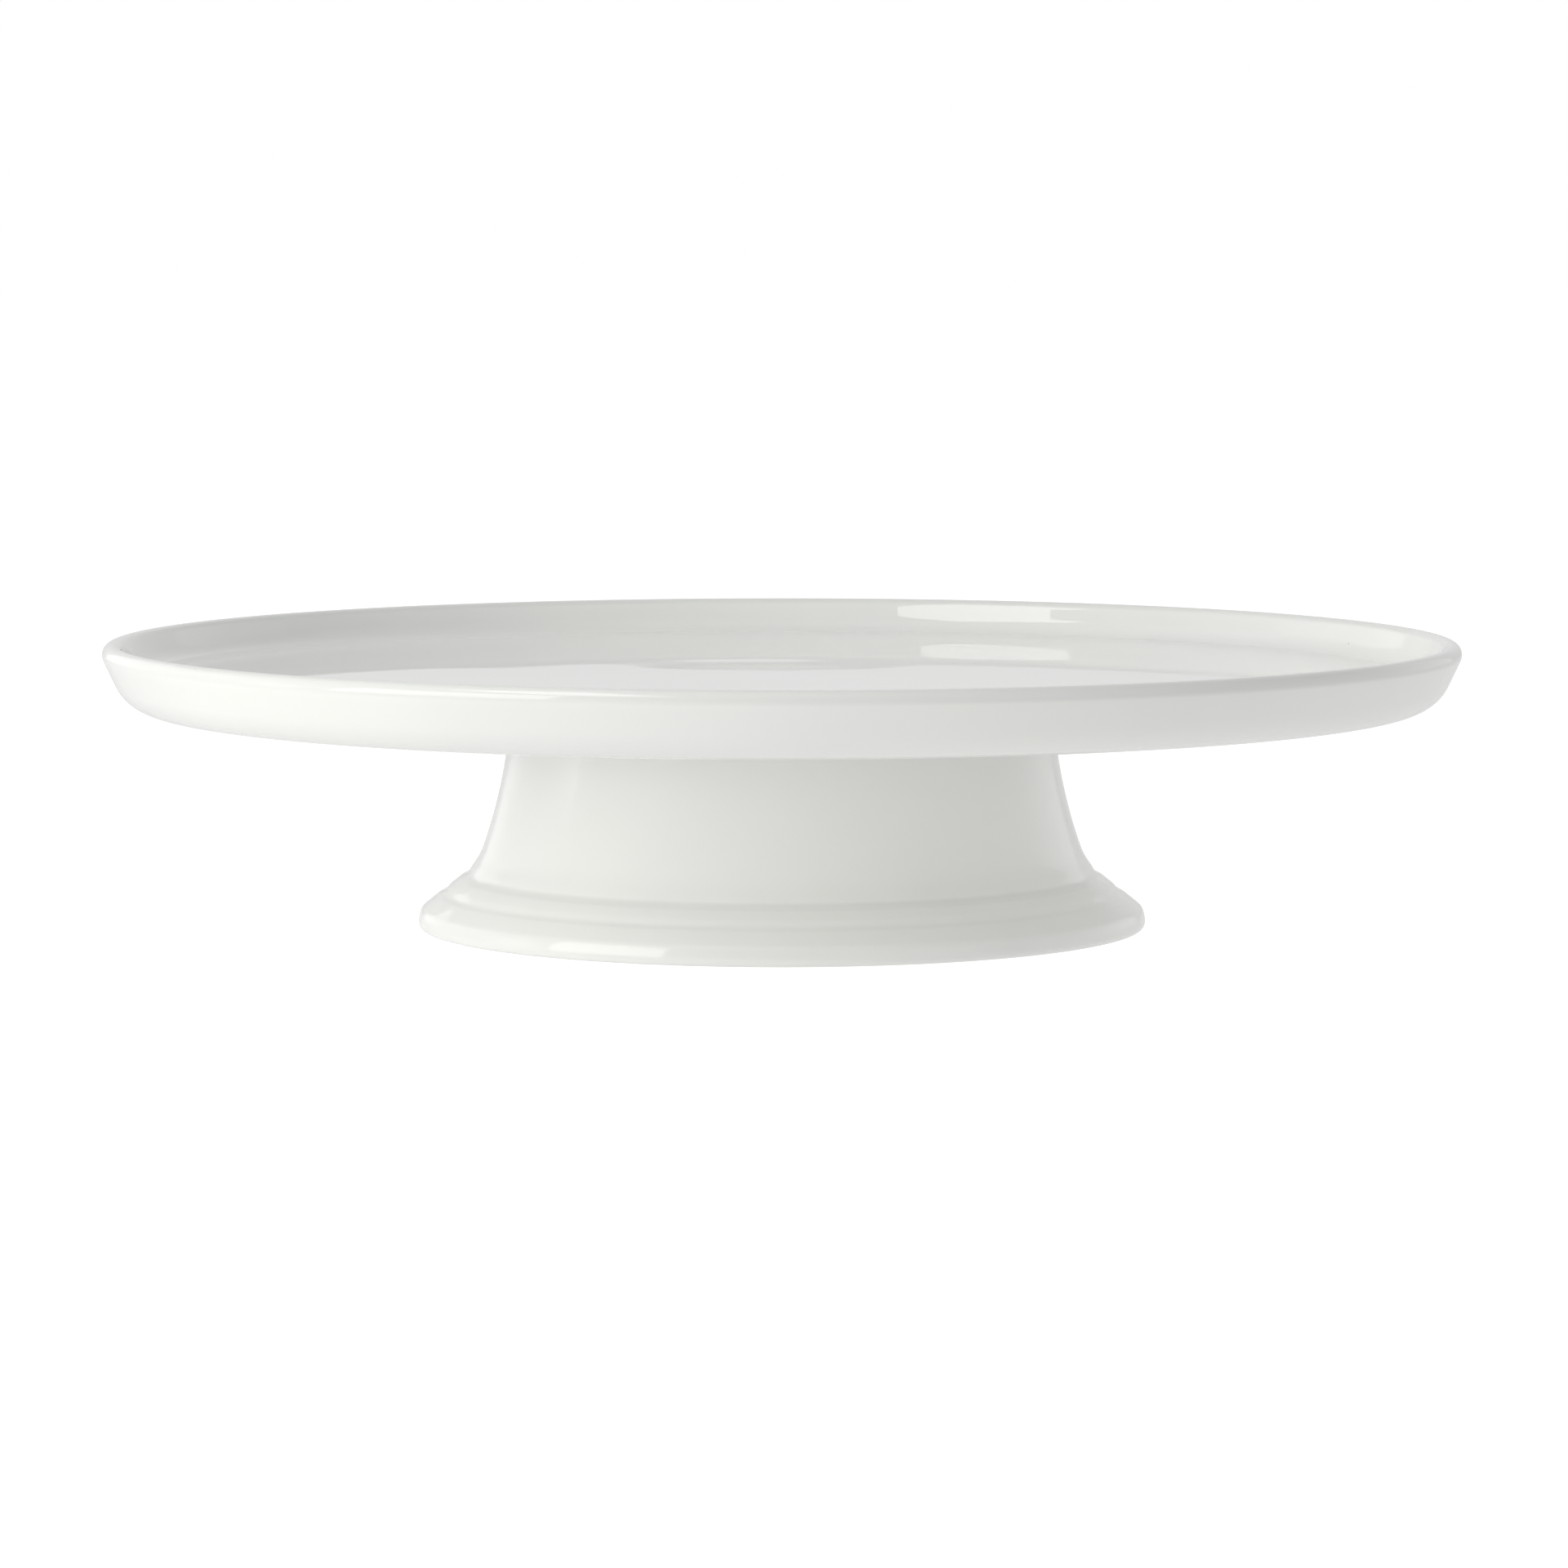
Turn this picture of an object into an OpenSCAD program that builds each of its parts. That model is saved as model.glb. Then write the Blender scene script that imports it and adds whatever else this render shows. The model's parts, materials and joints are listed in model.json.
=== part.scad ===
// Footed cake stand in white glazed porcelain, 300 mm across and 64 mm high.
//
// A round plate with a shallow flat well rests on a hollow, flared pedestal.
// The two are shaped apart while the clay is soft. They are then joined with
// a bed of clay slip, and everything goes through one firing.
//
// Each piece is a section turned about the Z axis. A section is drawn as
// [radius, height], with height 0 on the table and +Z up. All sizes are in mm.

/* [Plate] */
// Diameter over the lip
plate_d = 300; // [270:1:340]
// Height from the table to the crest of the lip
stand_h = 63.8; // [58:0.2:80]
// Depth of the flat well below the crest of the lip
well_depth = 7.6; // [6:0.2:9]
// Thickness of the floor of the well
floor_t = 7.2; // [6:0.2:9]
// Thickness of the wall, which ends in a fully rounded lip
rim_t = 4.7; // [4:0.1:5.5]
// Angle between the wall and vertical, in degrees
wall_angle = 25; // [15:1:32]
// Radius of the round between the wall and the underside
corner_r = 10; // [8:0.5:11]
// Radius of the cove between the floor of the well and the wall
cove_r = 6.2; // [4:0.2:7]

/* [Pedestal] */
// Diameter of the foot at its widest
foot_d = 161.4; // [150:0.2:175]
// Wall thickness of the hollow pedestal
pedestal_t = 6; // [5:0.2:7]
// Height of the rounded edge of the foot, up to its shoulder
foot_edge_h = 4.4; // [3.6:0.2:5]
// Radius of the bulge of that edge
foot_edge_r = 8; // [6:0.5:12]
// Radius of the round between the edge and the face that stands on the table
foot_round_r = 1.2; // [0.8:0.1:1.6]
// Angle between the beaded slope above the foot and vertical, in degrees
slope_angle = 52; // [46:1:56]
// Length of that slope, measured along it
slope_len = 11.3; // [10:0.1:12]
// Radius of the tight curve that turns the slope up into the neck
sweep_r = 14.7; // [12:0.1:18]
// Angle between the wall and vertical where the tight curve ends, in degrees
neck_angle = 19.4; // [16:0.2:22]
// Radius of the long curve of the neck
neck_curve_r = 112; // [100:1:130]

/* [Beading] */
// Distance from the shoulder to the lower groove, and from there to the upper one
groove_pitch = 6.2; // [5:0.1:6.4]
// Radius of the tool that turned the grooves
groove_r = 3.2; // [2:0.1:4]
// Depth of each groove
groove_depth = 0.3; // [0.2:0.05:0.6]

/* [Slip joint] */
// Thickness of the bed of slip between the pedestal and the plate
slip_t = 0.8; // [0.5:0.1:1.2]
// Radius of the wiped fillets of slip outside and inside the neck
slip_fillet_r = 4; // [2.5:0.5:5]
// Thickness of those fillets at their lower edges
slip_edge_t = 0.3; // [0.2:0.05:0.5]

/* [Hidden] */
$fn = 240;

// Overlap of sections that are fused, and overshoot of sections that are cut away
lap = 0.5;

// Heights of the main levels
underside_z = stand_h - well_depth - floor_t;
floor_z = stand_h - well_depth;
seat_z = underside_z - slip_t;

// A point at a distance from another one, at an angle from horizontal
function polar(origin, dist, angle) = origin + dist * [cos(angle), sin(angle)];

// Plate: the lip, the outer round and the inner cove share the lines of the wall
lip_r = rim_t / 2;
lip_c = [plate_d / 2 - lip_r, stand_h - lip_r];

// Radius at which a circle's centre at height z lies off the wall's centre line
function off_wall(z, dist) =
    lip_c.x + ((z - lip_c.y) * sin(wall_angle) - dist) / cos(wall_angle);

corner_c = [off_wall(underside_z + corner_r, corner_r - lip_r), underside_z + corner_r];
corner_end = polar(corner_c, corner_r, -wall_angle);
cove_c = [off_wall(floor_z + cove_r, cove_r + lip_r), floor_z + cove_r];
cove_end = polar(cove_c, cove_r, -wall_angle);

// Pedestal: a chain of tangent lines and arcs, from the table up to the seat
foot_r = foot_d / 2;
edge_c = [foot_r - foot_edge_r, foot_round_r];
shoulder_rise = asin((foot_edge_h - edge_c.y) / foot_edge_r);
shoulder = polar(edge_c, foot_edge_r, shoulder_rise);
slope_top = polar(shoulder, slope_len, slope_angle + 90);
sweep_c = polar(slope_top, sweep_r, slope_angle);
neck_end = polar(sweep_c, -sweep_r, neck_angle);
neck_c = polar(neck_end, neck_curve_r, neck_angle);

// Radius of a surface at height z, where an arc of radius r bulges towards the axis
function waist(c, r, z) = c.x - sqrt(r * r - pow(z - c.y, 2));

// Slip: the fillets end on the neck, this far below the plate
fillet_z = underside_z - slip_fillet_r;
fillet_out = waist(neck_c, neck_curve_r, fillet_z) + slip_edge_t;
fillet_in = waist(neck_c, neck_curve_r + pedestal_t, fillet_z) - slip_edge_t;

// A disc of radius r in a section
module disc(c, r) {
    translate(c) circle(r);
}

// The part of a section between two heights, from the axis out to a waisted arc
module waisted_band(c, r, z_low, z_high) {
    difference() {
        translate([0, z_low]) square([c.x, z_high - z_low]);
        disc(c, r);
    }
}

// The sloped part of the pedestal from the axis out, set in from the surface by dist
module slope_band(dist) {
    low = polar(shoulder, -dist, slope_angle);
    start = polar(low, -2 * foot_edge_h, slope_angle + 90);
    end = polar(low, slope_len + lap, slope_angle + 90);
    polygon([[0, start.y], start, end, [0, end.y]]);
}

// The neck, the tight curve and the slope together, set in by dist from their surface
module flared_section(dist, z_high) {
    sweep_end = polar(sweep_c, -sweep_r - dist, neck_angle);
    slope_end = polar(sweep_c, -sweep_r - dist, slope_angle);
    waisted_band(neck_c, neck_curve_r + dist, sweep_end.y - lap, z_high);
    waisted_band(sweep_c, sweep_r + dist, slope_end.y, sweep_end.y);
    slope_band(dist);
}

// The space that the rounded edge of the foot leaves for the pedestal
module foot_limit() {
    square([foot_r - foot_round_r, stand_h]);
    disc([foot_r - foot_round_r, foot_round_r], foot_round_r);
    intersection() {
        disc(edge_c, foot_edge_r);
        translate([0, edge_c.y]) square([foot_r + lap, foot_edge_r]);
    }
}

module pedestal_section() {
    difference() {
        intersection() {
            flared_section(0, seat_z);
            foot_limit();
        }
        flared_section(pedestal_t, seat_z + lap);
        for (step = [1, 2]) {
            on_slope = polar(shoulder, step * groove_pitch, slope_angle + 90);
            disc(polar(on_slope, groove_r - groove_depth, slope_angle), groove_r);
        }
    }
}

module plate_section() {
    polygon([
        [0, underside_z],
        [corner_c.x, underside_z],
        corner_end,
        polar(lip_c, lip_r, -wall_angle),
        polar(lip_c, -lip_r, -wall_angle),
        cove_end,
        [cove_end.x, floor_z],
        [0, floor_z]
    ]);
    disc(lip_c, lip_r);
    intersection() {
        disc(corner_c, corner_r);
        translate([corner_c.x - lap, underside_z]) square([corner_r, corner_end.y - underside_z]);
    }
    difference() {
        translate([cove_c.x, floor_z - lap]) square([cove_r, cove_end.y - floor_z + lap]);
        disc(cove_c, cove_r);
    }
}

module slip_section() {
    difference() {
        translate([fillet_in - slip_fillet_r, fillet_z])
            square([fillet_out - fillet_in + 2 * slip_fillet_r, slip_fillet_r]);
        disc([fillet_out + slip_fillet_r, fillet_z], slip_fillet_r);
        disc([fillet_in - slip_fillet_r, fillet_z], slip_fillet_r);
        pedestal_section();
    }
}

// The plate: a flat well, a coved and sloping wall and a rolled lip
module plate() {
    color("whitesmoke") rotate_extrude() plate_section();
}

// The pedestal: a hollow waisted neck with two grooves above a rounded foot ring
module pedestal() {
    color("gainsboro") rotate_extrude() pedestal_section();
}

// The ring of fired slip that holds the plate on the pedestal
module slip_joint() {
    color("silver") rotate_extrude() slip_section();
}

plate();
pedestal();
slip_joint();
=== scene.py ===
"""Looks for a footed cake stand in white glazed porcelain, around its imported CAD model.

Each CAD node is a section turned about the Z axis. The section is read back from the seam of
the node's mesh, softened as a coat of glaze softens it, and turned again with more rings.
"""
import json
import math

import bpy
import numpy as np
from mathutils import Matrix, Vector


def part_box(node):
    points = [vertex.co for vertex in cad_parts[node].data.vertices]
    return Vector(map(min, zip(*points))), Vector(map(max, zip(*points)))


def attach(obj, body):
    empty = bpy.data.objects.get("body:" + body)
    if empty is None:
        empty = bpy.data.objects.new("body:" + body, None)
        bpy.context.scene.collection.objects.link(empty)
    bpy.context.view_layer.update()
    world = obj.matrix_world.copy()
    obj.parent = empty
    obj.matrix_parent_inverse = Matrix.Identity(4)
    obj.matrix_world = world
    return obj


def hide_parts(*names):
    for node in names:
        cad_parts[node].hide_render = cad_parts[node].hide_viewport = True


MM = 0.001

# Points of a mesh that are nearer than this are the same point
SAME_POINT = 0.01 * MM
# A vertex that is this near the XZ plane lies on it
SEAM_WIDTH = 0.001 * MM
# Distance between the points of a section while it is being shaped
SAMPLE_STEP = 0.1 * MM
# A section that turns more than this at one point has a corner there, not an arc
CORNER_TURN = math.radians(15)
# How strongly a curve's direction is drawn to that of the chords beside it
HEADING_PULL = 0.05
# The longest step from ring to ring along a section, and the most that it turns in one
RING_STEP_MAX = 2.4 * MM
RING_TURN_MAX = math.radians(3.5)
# Faces around each ring
SEGMENTS = 288

# Softening is a Gaussian blur, cut off at this many times its width
SOFTENING_REACH = 4
# How much the glaze rounds the edges of the plate and the pedestal, and of the slip
BODY_SOFTNESS = 0.5 * MM
SLIP_SOFTNESS = 0.12 * MM
# How far the thin glaze of the edges, and the painted shade of the hollows, reach along the surface
BEND_MARK_REACH = 1.0 * MM

# The floor of the plate's well: what lies this near its level, and inside this radius
WELL_BAND = 0.3 * MM
WELL_EDGE = 137 * MM
# The width over which its unevenness dies out towards that radius
WELL_FADE = 12 * MM


# ---------------------------------------------------------------- sections

def seam_links(mesh):
    """The seam of a turned mesh as {point key: (radius, height)} and {point key: joined keys}."""
    keys = {}
    points = {}
    for v in mesh.vertices:
        if abs(v.co.y) < SEAM_WIDTH and v.co.x > 0:
            key = (round(v.co.x / SAME_POINT), round(v.co.z / SAME_POINT))
            keys[v.index] = key
            points.setdefault(key, (v.co.x, v.co.z))
    links = {key: set() for key in points}
    for e in mesh.edges:
        a, b = (keys.get(i) for i in e.vertices)
        if a is not None and b is not None and a != b:
            links[a].add(b)
            links[b].add(a)
    return points, links


def close_flats(points, links):
    """Joins the open ends of a seam across the flat faces, which have no seam of their own.

    A flat face that reaches the axis gets a point there, and the keys of those points are returned.
    """
    axis_ends = []
    levels = {}
    for key in points:
        if len(links[key]) == 1:
            levels.setdefault(key[1], []).append(key)
    for height, ends in sorted(levels.items()):
        ends.sort()
        if len(ends) % 2:
            axis_key = (0, height)
            points[axis_key] = (0.0, points[ends[0]][1])
            links[axis_key] = set()
            ends.insert(0, axis_key)
            axis_ends.append(axis_key)
        for a, b in zip(ends[::2], ends[1::2]):
            links[a].add(b)
            links[b].add(a)
    return axis_ends


def section_of(node):
    """The outline of a turned CAD node as an array of (radius, height), and True if it is closed."""
    points, links = seam_links(node.data)
    axis_ends = close_flats(points, links)
    start = axis_ends[0] if axis_ends else min(points)
    path = [start]
    here = start
    before = None
    while True:
        onward = [k for k in sorted(links[here]) if k != before]
        if not onward or onward[0] == start:
            break
        before = here
        here = onward[0]
        path.append(here)
    return np.array([points[k] for k in path]), not axis_ends


def turns_of(outline, closed):
    """How far the outline turns at each point, in radians. The ends of an open one don't turn."""
    step = np.diff(np.vstack([outline[-1:], outline, outline[:1]]), axis=0)
    heading = np.arctan2(step[:, 1], step[:, 0])
    turn = (np.diff(heading) + math.pi) % (2 * math.pi) - math.pi
    if not closed:
        turn[[0, -1]] = 0.0
    return turn


def headings_of(chords):
    """The directions of a smooth curve at its points, from the directions of its chords.

    On a line or an arc, the direction of a chord is the mean of those at its two ends.
    """
    n = len(chords)
    mean_of_ends = (np.eye(n, n + 1) + np.eye(n, n + 1, 1)) / 2
    beside = np.concatenate([chords[:1], (chords[1:] + chords[:-1]) / 2, chords[-1:]])
    rows = np.vstack([mean_of_ends, HEADING_PULL * np.eye(n + 1)])
    goals = np.concatenate([chords, HEADING_PULL * beside])
    return np.linalg.lstsq(rows, goals, rcond=None)[0]


def curve_through(points):
    """A smooth curve through a run of points that has no corner in it, without its last point.

    It is a chain of cubic curves, with two points or more in each SAMPLE_STEP.
    """
    step = np.diff(points, axis=0)
    lengths = np.hypot(*step.T)
    heading = headings_of(np.unwrap(np.arctan2(step[:, 1], step[:, 0])))
    along = np.column_stack([np.cos(heading), np.sin(heading)])
    parts = []
    for i, length in enumerate(lengths):
        t = np.linspace(0.0, 1.0, 2 + int(2 * length / SAMPLE_STEP))[:-1, None]
        leaving = (1 + 2 * t) * points[i] + t * length * along[i]
        arriving = (3 - 2 * t) * points[i + 1] + (t - 1) * length * along[i + 1]
        parts.append((1 - t) ** 2 * leaving + t ** 2 * arriving)
    return np.vstack(parts)


def rounded(outline, closed):
    """The outline as smooth curves from corner to corner, in place of the mesh's short chords.

    A closed outline has one corner or more.
    """
    corners = np.flatnonzero(np.abs(turns_of(outline, closed)) > CORNER_TURN)
    if closed:
        outline = np.roll(outline, -corners[0], axis=0)
        outline = np.vstack([outline, outline[:1]])
        corners = corners - corners[0]
    stops = sorted({0, *corners.tolist(), len(outline) - 1})
    parts = [curve_through(outline[a:b + 1]) for a, b in zip(stops, stops[1:])]
    if not closed:
        parts.append(outline[-1:])
    return np.vstack(parts)


def resampled(outline, closed):
    """The outline with a point every SAMPLE_STEP along it."""
    if closed:
        outline = np.vstack([outline, outline[:1]])
    lengths = np.hypot(*np.diff(outline, axis=0).T)
    along = np.concatenate([[0.0], np.cumsum(lengths)])
    count = int(round(along[-1] / SAMPLE_STEP))
    at = np.linspace(0.0, along[-1], count + 1)
    if closed:
        at = at[:-1]
    return np.column_stack([np.interp(at, along, outline[:, i]) for i in (0, 1)])


def softened(outline, closed, softness):
    """The outline with its edges rounded, as by a coat of glaze. softness is a length."""
    sigma = softness / SAMPLE_STEP
    reach = int(SOFTENING_REACH * sigma) + 1
    weights = np.exp(-0.5 * (np.arange(-reach, reach + 1) / sigma) ** 2)
    weights /= weights.sum()
    if closed:
        padded = np.vstack([outline[-reach:], outline, outline[:reach]])
    else:
        before = outline[1:reach + 1][::-1] * (-1, 1)
        after = outline[-reach - 1:-1][::-1] * (-1, 1)
        padded = np.vstack([before, outline, after])
    return np.column_stack([np.convolve(padded[:, i], weights, "valid") for i in (0, 1)])


def outward(outline):
    """The outline in the order that makes a turned surface face outwards."""
    following = np.roll(outline, -1, axis=0)
    area = np.sum(outline[:, 0] * following[:, 1] - following[:, 0] * outline[:, 1])
    return outline if area > 0 else outline[::-1]


def bends(outline, closed, side):
    """The curvature near each point, in 1/m, where the outline bends to one side.

    side is 1 for edges, where glaze runs thin, and -1 for hollows, where shade is painted.
    """
    bend = np.maximum(side * turns_of(outline, closed), 0.0) / SAMPLE_STEP
    return softened(np.column_stack([outline[:, 0], bend]), closed, BEND_MARK_REACH)[:, 1]


def rings_of(outline, closed):
    """Which points of the outline become rings: more of them where it bends."""
    keep = [0]
    turned = 0.0
    gone = 0.0
    for i, turn in list(enumerate(turns_of(outline, closed)))[1:]:
        turned += abs(turn)
        gone += SAMPLE_STEP
        if turned > RING_TURN_MAX or gone > RING_STEP_MAX:
            keep.append(i)
            turned = 0.0
            gone = 0.0
    if not closed and keep[-1] != len(outline) - 1:
        keep.append(len(outline) - 1)
    return np.array(keep)


# ---------------------------------------------------------------- meshes

def ring_points(rings):
    """The vertices of rings turned about Z, one ring after another."""
    angles = np.linspace(0.0, 2 * math.pi, SEGMENTS, endpoint=False)
    x = rings[:, :1] * np.cos(angles)
    y = rings[:, :1] * np.sin(angles)
    z = np.repeat(rings[:, 1:], SEGMENTS, axis=1)
    return np.column_stack([x.ravel(), y.ravel(), z.ravel()])


def band_faces(count, closed):
    """The faces between neighbouring rings. On a closed section the last meets the first."""
    faces = []
    for i in range(count if closed else count - 1):
        low = i * SEGMENTS
        high = (i + 1) % count * SEGMENTS
        for k in range(SEGMENTS):
            n = (k + 1) % SEGMENTS
            faces.append((low + k, low + n, high + n, high + k))
    return faces


def cap_faces(pole, ring, at_end):
    """The triangles from a ring to the vertex at its centre, at the section's start or its end."""
    faces = []
    for k in range(SEGMENTS):
        here = ring * SEGMENTS + k
        beside = ring * SEGMENTS + (k + 1) % SEGMENTS
        faces.append((pole, here, beside) if at_end else (pole, beside, here))
    return faces


def turned_mesh(name, rings, marks, closed, shift=None):
    """A mesh of rings turned about Z. marks are values per ring, kept as point attributes.

    A section that isn't closed has its two ends on the axis, and each becomes one vertex.
    """
    ring_ids = np.arange(len(rings))
    body_ids = ring_ids if closed else ring_ids[1:-1]
    verts = ring_points(rings[body_ids])
    faces = band_faces(len(body_ids), closed)
    ring_of_vert = np.repeat(body_ids, SEGMENTS)
    if not closed:
        poles = [[0.0, 0.0, rings[0, 1]], [0.0, 0.0, rings[-1, 1]]]
        faces += cap_faces(len(verts), 0, at_end=False)
        faces += cap_faces(len(verts) + 1, len(body_ids) - 1, at_end=True)
        verts = np.vstack([verts, poles])
        ring_of_vert = np.append(ring_of_vert, ring_ids[[0, -1]])
    if shift is not None:
        verts[:, 2] += shift(verts)
    mesh = bpy.data.meshes.new(name)
    mesh.from_pydata(verts.tolist(), [], faces)
    for mark, values in marks.items():
        attribute = mesh.attributes.new(mark, "FLOAT", "POINT")
        attribute.data.foreach_set("value", values[ring_of_vert].astype(np.float32))
    mesh.shade_smooth()
    mesh.validate()
    return mesh


def glazed_piece(name, node, softness, shift=None):
    """A piece turned from a CAD node's own section, which stands for that node."""
    outline, closed = section_of(frame["nodes"][node])
    outline = resampled(rounded(outward(outline), closed), closed)
    outline = softened(outline, closed, softness)
    keep = rings_of(outline, closed)
    rings = outline[keep]
    marks = {
        "edge": bends(outline, closed, 1)[keep],
        "hollow": bends(outline, closed, -1)[keep],
    }
    mesh = turned_mesh(name, rings, marks, closed, shift)
    piece = bpy.data.objects.new(name, mesh)
    bpy.context.scene.collection.objects.link(piece)
    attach(piece, "root")
    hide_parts(node)
    return piece


def smooth_step(t):
    """0 up to t = 0, 1 from t = 1, and a smooth rise between them."""
    t = np.clip(t, 0.0, 1.0)
    return t * t * (3 - 2 * t)


def swell(x, y, centre, reach, rise):
    """A low, smooth rise, in metres. Its centre, reach across and back, and height are given in mm."""
    across = (x - centre[0] * MM) / (reach[0] * MM)
    back = (y - centre[1] * MM) / (reach[1] * MM)
    return rise * MM * np.exp(-0.5 * (across ** 2 + back ** 2))


def well_swell(verts):
    """How far the floor of the well stands off a plane, at each vertex of the plate.

    No fired plate is quite flat. These swells bend the reflections in the well.
    """
    cake_face = next(m for m in frame["record"]["mounts"] if m["name"] == "cake_face")
    x, y, z = verts.T
    radius = np.hypot(x, y)
    in_well = (np.abs(z - cake_face["pos_m"][2]) < WELL_BAND) & (radius < WELL_EDGE)
    rise = swell(x, y, centre=(-8, 1), reach=(22, 13.8), rise=0.20)
    rise += swell(x, y, centre=(-61, -29), reach=(10, 27), rise=0.18)
    rise += swell(x, y, centre=(50, -40), reach=(42, 32), rise=0.32)
    rise += swell(x, y, centre=(-7, 52), reach=(21, 8), rise=0.045)
    return np.where(in_well, smooth_step((WELL_EDGE - radius) / WELL_FADE) * rise, 0.0)


# ---------------------------------------------------------------- node helpers

class Tree:
    """Short names for making and joining shader nodes."""

    def __init__(self, tree):
        self.tree = tree

    def add(self, kind, **settings):
        node = self.tree.nodes.new(kind)
        for key, value in settings.items():
            setattr(node, key, value)
        return node

    def link(self, source, target):
        self.tree.links.new(source, target)

    def fill(self, socket, value):
        """Links another node's socket to this one, or sets it to a number or a colour."""
        if isinstance(value, bpy.types.NodeSocket):
            self.link(value, socket)
        elif isinstance(value, tuple):
            socket.default_value = (*value, 1.0)
        else:
            socket.default_value = value

    def math(self, operation, a, b=None):
        node = self.add("ShaderNodeMath", operation=operation)
        self.fill(node.inputs[0], a)
        if b is not None:
            self.fill(node.inputs[1], b)
        return node.outputs[0]

    def ramp(self, value, low, high, to_low=0.0, to_high=1.0):
        """to_low where the value is low, to_high where it is high, and a smooth change between."""
        node = self.add("ShaderNodeMapRange", interpolation_type="SMOOTHSTEP")
        self.link(value, node.inputs["Value"])
        node.inputs["From Min"].default_value = low
        node.inputs["From Max"].default_value = high
        node.inputs["To Min"].default_value = to_low
        node.inputs["To Max"].default_value = to_high
        return node.outputs["Result"]

    def blend(self, kind, share, a, b):
        """A mix of two colours (kind RGBA) or two numbers (kind VALUE): a at share 0, b at 1."""
        node = self.add("ShaderNodeMix", data_type="RGBA" if kind == "RGBA" else "FLOAT")
        self.link(share, node.inputs["Factor"])
        for label, value in (("A", a), ("B", b)):
            socket = next(s for s in node.inputs if s.name == label and s.type == kind)
            self.fill(socket, value)
        return next(s for s in node.outputs if s.type == kind)

    def noise(self, vector, scale, detail=2.0):
        node = self.add("ShaderNodeTexNoise")
        self.link(vector, node.inputs["Vector"])
        node.inputs["Scale"].default_value = scale
        node.inputs["Detail"].default_value = detail
        return node.outputs["Fac"]


# ---------------------------------------------------------------- materials

# Detail of the finer noises
FINE = 3.0
# The glaze's own colour drifts between two whites, in clouds several centimetres across.
# A range is the part of the noise, from 0 to 1, over which one goes into the other.
GLAZE_COOL = (0.863, 0.872, 0.855)
GLAZE_WARM = (0.880, 0.882, 0.860)
CLOUD_SCALE = 14.0
CLOUD_RANGE = (0.35, 0.65)
# It is a little darker where it runs thin over the lip, between these curvatures in 1/m
GLAZE_THIN = (0.800, 0.810, 0.790)
THIN_STARTS = 200.0
THIN_FULL = 360.0
# Painted shade: it is darker too in the hollows, the grooves and creases
PAINTED_HOLLOW_SHADE = (0.785, 0.796, 0.776)
HOLLOW_SHADE_STARTS = 150.0
HOLLOW_SHADE_FULL = 260.0
# Iron specks: their colour, cells per metre and the share of cells that may have one
SPECK = (0.45, 0.40, 0.33)
SPECK_CELLS = 90.0
SPECK_SHARE = 0.25
# Distances from its middle, in cells, where a speck starts to fade and where it ends
SPECK_INNER = 0.012
SPECK_OUTER = 0.022
# The gloss changes a little, in patches
GLOSS_SCALE = 38.0
GLOSS_RANGE = (0.3, 0.7)
ROUGHNESS_LEAST = 0.006
ROUGHNESS_MOST = 0.018
GLAZE_IOR = 1.5
# The surface of the glaze undulates a little
PEEL_SCALE = 130.0
PEEL_DEPTH = 0.0015 * MM
# The bare ring that stands on the table: its colour, its grain and where the glaze ends
BISCUIT = (0.80, 0.78, 0.73)
BISCUIT_ROUGHNESS = 0.82
BISCUIT_GRAIN = 1800.0
BARE_UP_TO = 0.30 * MM
GLAZED_FROM = 0.42 * MM
RAGGED_BY = 0.3 * MM
RAGGED_SCALE = 220.0


def glaze_colour_and_shade(t, place, thin_lip):
    """The white of the glaze, with its clouds and thin edges, and painted shade in its hollows."""
    cloud = t.ramp(t.noise(place, CLOUD_SCALE, FINE), *CLOUD_RANGE)
    colour = t.blend("RGBA", cloud, GLAZE_COOL, GLAZE_WARM)
    if thin_lip:
        edge = t.add("ShaderNodeAttribute", attribute_name="edge").outputs["Fac"]
        colour = t.blend("RGBA", t.ramp(edge, THIN_STARTS, THIN_FULL), colour, GLAZE_THIN)
    hollow = t.add("ShaderNodeAttribute", attribute_name="hollow").outputs["Fac"]
    # Painted shade in the hollows: darker where the outline bends inwards
    return t.blend("RGBA", t.ramp(hollow, HOLLOW_SHADE_STARTS, HOLLOW_SHADE_FULL), colour, PAINTED_HOLLOW_SHADE)


def with_specks(t, place, colour):
    """The colour with a few small iron specks in it."""
    cells = t.add("ShaderNodeTexVoronoi", voronoi_dimensions="3D")
    t.link(place, cells.inputs["Vector"])
    cells.inputs["Scale"].default_value = SPECK_CELLS
    near = t.ramp(cells.outputs["Distance"], SPECK_OUTER, SPECK_INNER)
    lot = t.add("ShaderNodeSeparateColor")
    t.link(cells.outputs["Color"], lot.inputs["Color"])
    chosen = t.math("GREATER_THAN", lot.outputs["Red"], 1.0 - SPECK_SHARE)
    return t.blend("RGBA", t.math("MULTIPLY", near, chosen), colour, SPECK)


def with_bare_ring(t, place, colour, gloss):
    """The colour and roughness with unglazed ware at the very foot, under a ragged edge."""
    height = t.add("ShaderNodeSeparateXYZ")
    t.link(place, height.inputs["Vector"])
    ragged = t.math("MULTIPLY", t.noise(place, RAGGED_SCALE), RAGGED_BY)
    bare = t.ramp(t.math("ADD", height.outputs["Z"], ragged), GLAZED_FROM, BARE_UP_TO)
    bisque = t.blend("RGBA", t.noise(place, BISCUIT_GRAIN, FINE), BISCUIT, GLAZE_WARM)
    return t.blend("RGBA", bare, colour, bisque), t.blend("VALUE", bare, gloss, BISCUIT_ROUGHNESS)


def glaze_level(t, place):
    """The normal of a glaze that undulates a little."""
    bump = t.add("ShaderNodeBump")
    bump.inputs["Distance"].default_value = PEEL_DEPTH
    t.link(t.noise(place, PEEL_SCALE), bump.inputs["Height"])
    return bump.outputs["Normal"]


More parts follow.
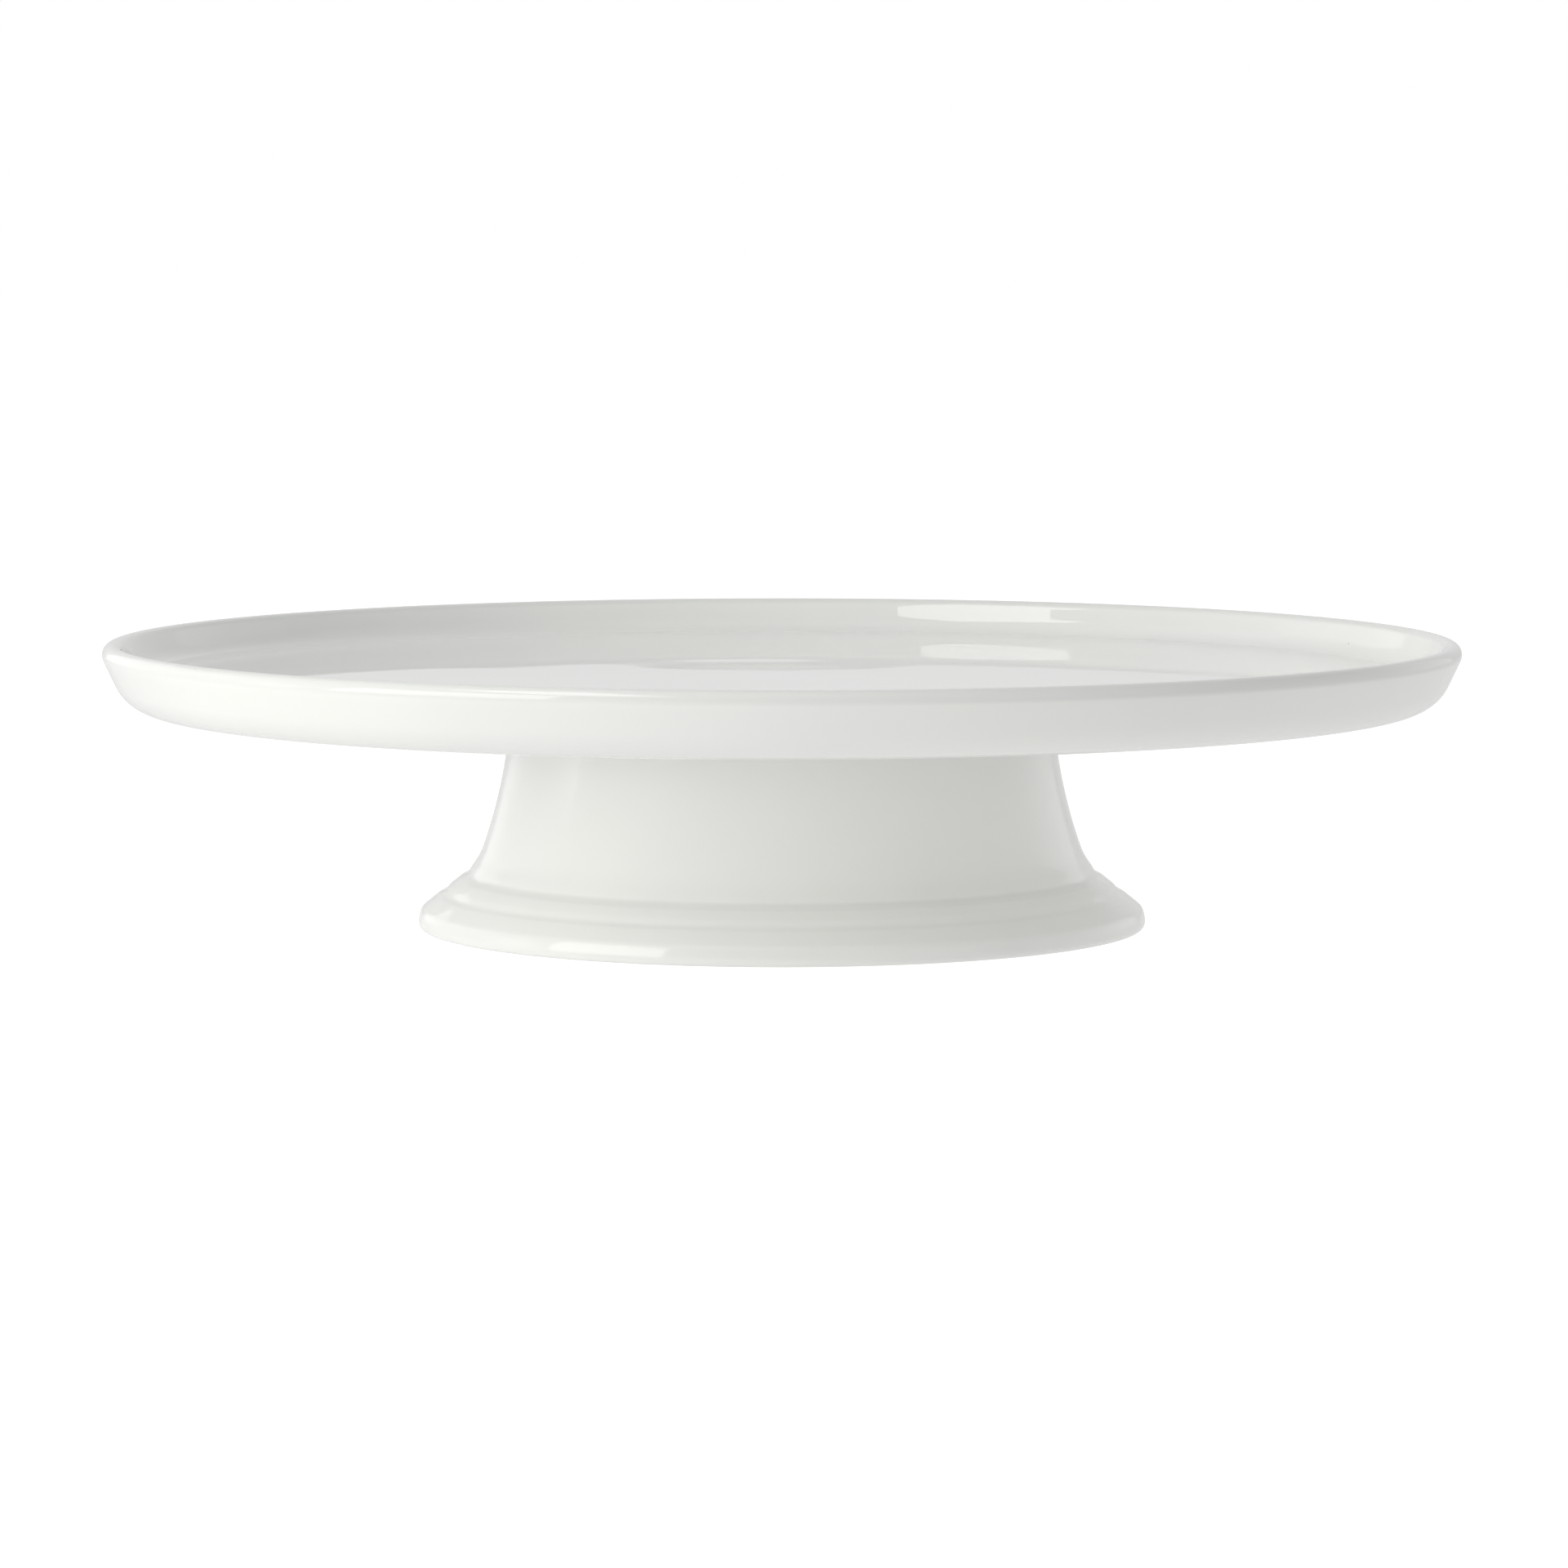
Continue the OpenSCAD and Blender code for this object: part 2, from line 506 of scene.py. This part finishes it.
def glazed_porcelain(name, thin_lip=False, bare_ring=False):
    """White porcelain under a clear gloss glaze."""
    material = bpy.data.materials.new(name)
    material.use_nodes = True
    t = Tree(material.node_tree)
    shader = material.node_tree.nodes["Principled BSDF"]
    place = t.add("ShaderNodeTexCoord").outputs["Object"]
    colour = with_specks(t, place, glaze_colour_and_shade(t, place, thin_lip))
    patches = t.noise(place, GLOSS_SCALE, FINE)
    gloss = t.ramp(patches, *GLOSS_RANGE, ROUGHNESS_LEAST, ROUGHNESS_MOST)
    if bare_ring:
        colour, gloss = with_bare_ring(t, place, colour, gloss)
    t.link(colour, shader.inputs["Base Color"])
    t.link(gloss, shader.inputs["Roughness"])
    t.link(glaze_level(t, place), shader.inputs["Normal"])
    shader.inputs["IOR"].default_value = GLAZE_IOR
    return material


# ---------------------------------------------------------------- studio

# The round floor: its size, its paint, and how much it glows far from the stand and near it
FLOOR_RADIUS = 9.0
FLOOR_SIDES = 96
FLOOR_PAINT = (0.35, 0.35, 0.35)
FLOOR_ROUGHNESS = 0.9
FLOOR_GLOW = 0.51
FLOOR_GLOW_NEAR = 0.57
# Distances from the axis where the near glow starts to fade and where it ends
FLOOR_NEAR = 0.08
FLOOR_FAR = 0.26
# How much more it glows for the camera than for the stand, so that it shows plain white
FLOOR_GLOW_SEEN = 0.35
# How far the floor lies under the foot, so that the two don't share a plane
FLOOR_GAP = 0.02 * MM


def floor_mesh():
    """A flat disc of triangles, which faces up."""
    verts = [(0.0, 0.0, 0.0)]
    for k in range(FLOOR_SIDES):
        a = 2 * math.pi * k / FLOOR_SIDES
        verts.append((FLOOR_RADIUS * math.cos(a), FLOOR_RADIUS * math.sin(a), 0.0))
    faces = [(0, 1 + k, 1 + (k + 1) % FLOOR_SIDES) for k in range(FLOOR_SIDES)]
    mesh = bpy.data.meshes.new("studio_floor")
    mesh.from_pydata(verts, [], faces)
    return mesh


def floor_paint():
    """Pale paint that glows a little, as a lit white table does. It is clear from below."""
    material = bpy.data.materials.new("floor_paint")
    material.use_nodes = True
    t = Tree(material.node_tree)
    shader = material.node_tree.nodes["Principled BSDF"]
    t.fill(shader.inputs["Base Color"], FLOOR_PAINT)
    shader.inputs["Roughness"].default_value = FLOOR_ROUGHNESS
    shader.inputs["Specular IOR Level"].default_value = 0.0
    t.fill(shader.inputs["Emission Color"], (1.0, 1.0, 1.0))
    geometry = t.add("ShaderNodeNewGeometry")
    from_axis = t.add("ShaderNodeVectorMath", operation="LENGTH")
    t.link(geometry.outputs["Position"], from_axis.inputs[0])
    glow = t.ramp(from_axis.outputs["Value"], FLOOR_NEAR, FLOOR_FAR, FLOOR_GLOW_NEAR, FLOOR_GLOW)
    seen = t.add("ShaderNodeLightPath").outputs["Is Camera Ray"]
    extra = t.math("MULTIPLY", seen, FLOOR_GLOW_SEEN)
    t.link(t.math("ADD", glow, extra), shader.inputs["Emission Strength"])
    one_sided = t.add("ShaderNodeMixShader")
    t.link(geometry.outputs["Backfacing"], one_sided.inputs[0])
    t.link(shader.outputs[0], one_sided.inputs[1])
    t.link(t.add("ShaderNodeBsdfTransparent").outputs[0], one_sided.inputs[2])
    t.link(one_sided.outputs[0], material.node_tree.nodes["Material Output"].inputs["Surface"])
    return material


def studio_floor():
    """The floor that the stand is on."""
    floor = bpy.data.objects.new("studio_floor", floor_mesh())
    bpy.context.scene.collection.objects.link(floor)
    floor.location.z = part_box("pedestal")[0].z - FLOOR_GAP
    floor.data.materials.append(floor_paint())


# How fast a wide glow of the room fades with the angle: 1/e of it is left at 27 degrees
WIDE_GLOW = 9.0


def aim(azimuth, elevation):
    """The direction of a light as seen from the stand, from degrees left of the camera and up."""
    a = math.radians(azimuth)
    e = math.radians(elevation)
    return Vector((-math.sin(a) * math.cos(e), -math.cos(a) * math.cos(e), math.sin(e)))


def glow_from(t, looking, azimuth, elevation, strength, tightness=WIDE_GLOW):
    """A soft patch of light in the world, brightest in one direction. looking is a unit vector."""
    dot = t.add("ShaderNodeVectorMath", operation="DOT_PRODUCT")
    t.link(looking, dot.inputs[0])
    dot.inputs[1].default_value = aim(azimuth, elevation)
    fall = t.math("MULTIPLY", t.math("SUBTRACT", dot.outputs["Value"], 1.0), tightness)
    return t.math("MULTIPLY", t.math("EXPONENT", fall), strength)


def room_glows(t, looking):
    """Light from the walls and ceiling of the room, as soft patches all round and above."""
    return (
        glow_from(t, looking, azimuth=135, elevation=6, strength=0.15),
        glow_from(t, looking, azimuth=180, elevation=6, strength=0.62),
        glow_from(t, looking, azimuth=225, elevation=6, strength=0.74),
        glow_from(t, looking, azimuth=270, elevation=6, strength=0.37),
        glow_from(t, looking, azimuth=315, elevation=6, strength=0.81),
        glow_from(t, looking, azimuth=60, elevation=40, strength=0.11),
        glow_from(t, looking, azimuth=120, elevation=40, strength=0.82),
        glow_from(t, looking, azimuth=180, elevation=40, strength=0.45),
        glow_from(t, looking, azimuth=240, elevation=40, strength=0.12),
        glow_from(t, looking, azimuth=300, elevation=40, strength=0.44),
        glow_from(t, looking, azimuth=0, elevation=85, strength=0.70),
        glow_from(t, looking, azimuth=0, elevation=48, strength=0.5, tightness=40.0),
        glow_from(t, looking, azimuth=150, elevation=2, strength=0.36, tightness=25.0),
        glow_from(t, looking, azimuth=92, elevation=6, strength=1.1, tightness=60.0),
    )


def studio_world():
    """The room's soft light. The camera itself sees plain white behind the stand."""
    world = bpy.data.worlds.new("studio")
    bpy.context.scene.world = world
    world.use_nodes = True
    t = Tree(world.node_tree)
    world.node_tree.nodes.clear()
    out = t.add("ShaderNodeOutputWorld")
    total = 0.0
    looking = t.add("ShaderNodeTexCoord").outputs["Generated"]
    for glow in room_glows(t, looking):
        total = t.math("ADD", glow, total)
    room = t.add("ShaderNodeBackground")
    t.link(total, room.inputs["Strength"])
    white = t.add("ShaderNodeBackground")
    for background in (room, white):
        background.inputs["Color"].default_value = (1.0, 1.0, 1.0, 1.0)
    mix = t.add("ShaderNodeMixShader")
    t.link(t.add("ShaderNodeLightPath").outputs["Is Camera Ray"], mix.inputs[0])
    t.link(room.outputs[0], mix.inputs[1])
    t.link(white.outputs[0], mix.inputs[2])
    t.link(mix.outputs[0], out.inputs["Surface"])


# The softboxes at the front left are a little warmer than the rest
WARM_LIGHT = (1.0, 0.99, 0.95)
# How far the upright softboxes stand from the axis, and how high the one overhead hangs
SOFTBOX_DISTANCE = 1.5
SOFTBOX_HEIGHT = 1.6


def panel(name, centre, facing, width, height, radiance):
    """A flat soft light, width across and height up. facing is the way that it shines."""
    data = bpy.data.lights.new(name, "AREA")
    data.shape = "RECTANGLE"
    data.size = width
    data.size_y = height
    data.energy = radiance * math.pi * width * height
    light = bpy.data.objects.new(name, data)
    bpy.context.scene.collection.objects.link(light)
    light.location = centre
    light.rotation_mode = "QUATERNION"
    light.rotation_quaternion = (-Vector(facing)).to_track_quat("Z", "Y")
    return light


def standing_panel(name, start, end, top, radiance):
    """An upright soft light on the floor, from azimuth start to end and up to elevation top."""
    middle = (start + end) / 2
    width = 2 * SOFTBOX_DISTANCE * math.tan(math.radians(end - start) / 2)
    height = SOFTBOX_DISTANCE * math.tan(math.radians(top))
    place = aim(middle, 0) * SOFTBOX_DISTANCE
    place.z = height / 2
    return panel(name, place, -aim(middle, 0), width, height, radiance)


def ceiling_panel(name, left, right, back, front, radiance):
    """A level soft light overhead. Its edges are given as shares of its height."""
    across = (left + right) / 2
    along = (back + front) / 2
    place = Vector((across, along, 1.0)) * SOFTBOX_HEIGHT
    width = (right - left) * SOFTBOX_HEIGHT
    depth = (back - front) * SOFTBOX_HEIGHT
    return panel(name, place, (0, 0, -1), width, depth, radiance)


def studio_lights():
    """The softboxes. The fill only adds light, and the others also show in the glaze."""
    ceiling_panel("softbox_overhead", left=-0.83, right=-0.36, back=-0.18, front=-1.05, radiance=3.3)
    front_left = standing_panel("softbox_front_left", start=36.5, end=76, top=32, radiance=3.0)
    standing_panel("softbox_left", start=76, end=156, top=32, radiance=0.38)
    standing_panel("softbox_right", start=-150, end=-80, top=32, radiance=0.19)
    fill = standing_panel("fill_front_left", start=20, end=76, top=12, radiance=1.68)
    fill.visible_glossy = False
    for light in (front_left, fill):
        light.data.color = WARM_LIGHT


# The camera stands on the -Y side and looks along +Y, a little down. Its lens is in mm.
CAMERA_BACK = 1.4505
CAMERA_HEIGHT = 0.16286
CAMERA_PITCH = math.radians(5.171)
CAMERA_LENS = 150.6
SENSOR_WIDTH = 36.0
# The stand is a little off the middle of the picture, by this share of its width
FRAME_SHIFT = 0.0013
CLIP_START = 0.05
CLIP_END = 60.0


def studio_camera():
    """A camera at the photograph's viewing angle."""
    data = bpy.data.cameras.new("camera")
    data.lens = CAMERA_LENS
    data.sensor_width = SENSOR_WIDTH
    data.shift_x = FRAME_SHIFT
    data.clip_start = CLIP_START
    data.clip_end = CLIP_END
    camera = bpy.data.objects.new("camera", data)
    bpy.context.scene.collection.objects.link(camera)
    camera.location = (0.0, -CAMERA_BACK, CAMERA_HEIGHT)
    camera.rotation_euler = (math.pi / 2 - CAMERA_PITCH, 0.0, 0.0)
    bpy.context.scene.camera = camera


# ---------------------------------------------------------------- the stand in its studio


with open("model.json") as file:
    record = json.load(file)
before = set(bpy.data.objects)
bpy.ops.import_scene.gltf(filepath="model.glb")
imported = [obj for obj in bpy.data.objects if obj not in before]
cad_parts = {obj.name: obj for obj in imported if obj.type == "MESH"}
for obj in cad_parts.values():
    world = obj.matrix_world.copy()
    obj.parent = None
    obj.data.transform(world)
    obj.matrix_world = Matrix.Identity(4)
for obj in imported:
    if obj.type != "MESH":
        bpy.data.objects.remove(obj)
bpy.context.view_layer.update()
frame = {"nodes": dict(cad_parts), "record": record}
bpy.context.scene.view_settings.view_transform = "Standard"

plate = glazed_piece("plate_body", "plate", BODY_SOFTNESS, well_swell)
plate.data.materials.append(glazed_porcelain("porcelain_plate", thin_lip=True))

pedestal = glazed_piece("pedestal_body", "pedestal", BODY_SOFTNESS)
pedestal.data.materials.append(glazed_porcelain("porcelain_pedestal", bare_ring=True))

ring = glazed_piece("slip_ring", "slip_joint", SLIP_SOFTNESS)
ring.data.materials.append(glazed_porcelain("porcelain_slip"))

studio_floor()
studio_world()
studio_lights()
studio_camera()
